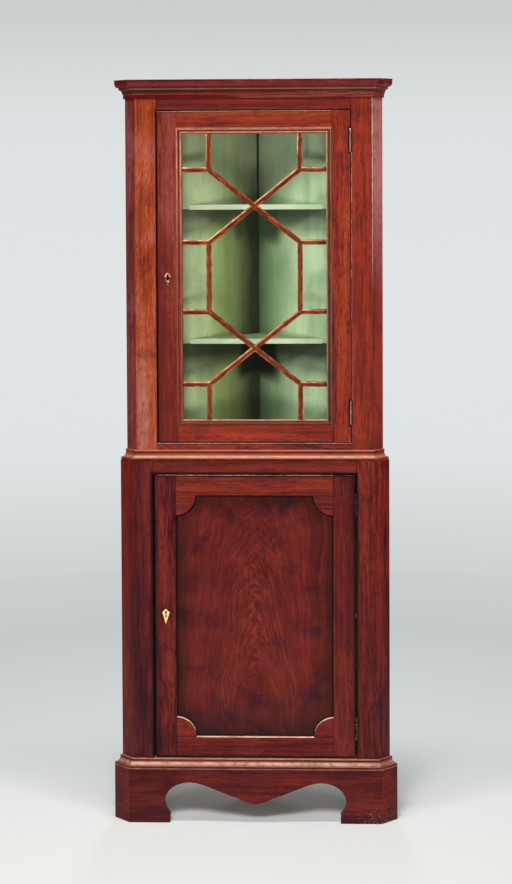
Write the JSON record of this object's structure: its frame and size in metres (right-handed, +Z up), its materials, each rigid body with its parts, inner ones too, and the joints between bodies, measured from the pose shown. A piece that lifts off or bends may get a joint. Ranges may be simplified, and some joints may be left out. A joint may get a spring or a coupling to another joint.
{
  "type": "corner cupboard",
  "caption": "Two-stage corner cupboard with canted corners: glazed door with shaped bars over a panelled door with spandrels, moulded cornice, bracket-foot plinth",
  "frame": {"origin": "Middle of the cupboard's overall footprint, on the floor.", "axes": "+Z up. The doors face -Y, and the two back walls meet at the +Y end. +X is to the right of someone who looks at the doors. Each back lies at 45 degrees to X and Y."},
  "size_m": [0.7714, 0.429, 2.01],
  "materials": {
    "upper_mahogany": "waxed orange-brown mahogany",
    "lower_mahogany": "waxed dark red mahogany",
    "moulding_mahogany": "waxed mahogany with rubbed edges",
    "figured_mahogany": "waxed mahogany with flame figure",
    "green_paint": "matt sage green paint on boards",
    "pine": "bare aged pine",
    "window_glass": "clear thin window glass",
    "hinge_brass": "dark aged brass",
    "worn_brass": "dull worn brass",
    "lock_iron": "dark iron",
    "bone": "cream bone, polished"
  },
  "bodies": {
    "cupboard_case": {"upper_left_corner_stile": "upper_mahogany", "upper_right_corner_stile": "upper_mahogany", "frieze_rail": "upper_mahogany", "upper_bottom_rail": "upper_mahogany", "upper_bottom_board": "green_paint", "upper_low_shelf": "green_paint", "upper_high_shelf": "green_paint", "upper_top_board": "pine", "upper_left_back": "green_paint", "upper_right_back": "green_paint", "cornice": "moulding_mahogany", "lower_left_corner_stile": "lower_mahogany", "lower_right_corner_stile": "lower_mahogany", "lower_top_rail": "lower_mahogany", "lower_top_board": "pine", "lower_bottom_board": "pine", "lower_shelf": "pine", "lower_left_back": "pine", "lower_right_back": "pine", "waist_moulding": "moulding_mahogany", "base_moulding": "moulding_mahogany", "plinth": "lower_mahogany", "rear_foot": "pine", "upper_top_hinge_case_leaf": "hinge_brass", "upper_bottom_hinge_case_leaf": "hinge_brass", "lower_top_hinge_case_leaf": "hinge_brass", "lower_bottom_hinge_case_leaf": "hinge_brass"},
    "glazed_door": {"upper_door_lock_stile": "upper_mahogany", "upper_door_hinge_stile": "upper_mahogany", "upper_door_bottom_rail": "upper_mahogany", "upper_door_top_rail": "upper_mahogany", "glazing_bars": "moulding_mahogany", "pane_middle": "window_glass", "pane_middle_left": "window_glass", "pane_middle_right": "window_glass", "pane_top_left": "window_glass", "pane_top_middle": "window_glass", "pane_top_right": "window_glass", "pane_top_cross_left": "window_glass", "pane_top_cross_right": "window_glass", "pane_bottom_left": "window_glass", "pane_bottom_middle": "window_glass", "pane_bottom_right": "window_glass", "pane_bottom_cross_left": "window_glass", "pane_bottom_cross_right": "window_glass", "upper_top_hinge_door_leaf": "hinge_brass", "upper_bottom_hinge_door_leaf": "hinge_brass", "upper_lock_case": "lock_iron", "upper_escutcheon": "worn_brass"},
    "upper_bolt": {"upper_lock_bolt": "hinge_brass"},
    "panelled_door": {"lower_door_lock_stile": "lower_mahogany", "lower_door_hinge_stile": "lower_mahogany", "lower_door_bottom_rail": "lower_mahogany", "lower_door_top_rail": "lower_mahogany", "lower_door_panel": "figured_mahogany", "lower_top_hinge_door_leaf": "hinge_brass", "lower_bottom_hinge_door_leaf": "hinge_brass", "lower_lock_case": "lock_iron", "lower_escutcheon": "bone"},
    "lower_bolt": {"lower_lock_bolt": "hinge_brass"}
  },
  "joints": [
    {"name": "glazed_door_hinge", "type": "hinge", "parent": "cupboard_case", "child": "glazed_door", "pos_m": [0.26275, -0.165, 1.4771], "axis": [0, 0, 1], "range_deg": [0, 140]},
    {"name": "panelled_door_hinge", "type": "hinge", "parent": "cupboard_case", "child": "panelled_door", "pos_m": [0.274, -0.188, 0.5573], "axis": [0, 0, 1], "range_deg": [0, 140]},
    {"name": "upper_bolt_slide", "type": "slide", "parent": "glazed_door", "child": "upper_bolt", "axis": [-1, 0, 0], "range_m": [0, 0.008]},
    {"name": "lower_bolt_slide", "type": "slide", "parent": "panelled_door", "child": "lower_bolt", "axis": [-1, 0, 0], "range_m": [0, 0.012]}
  ]
}
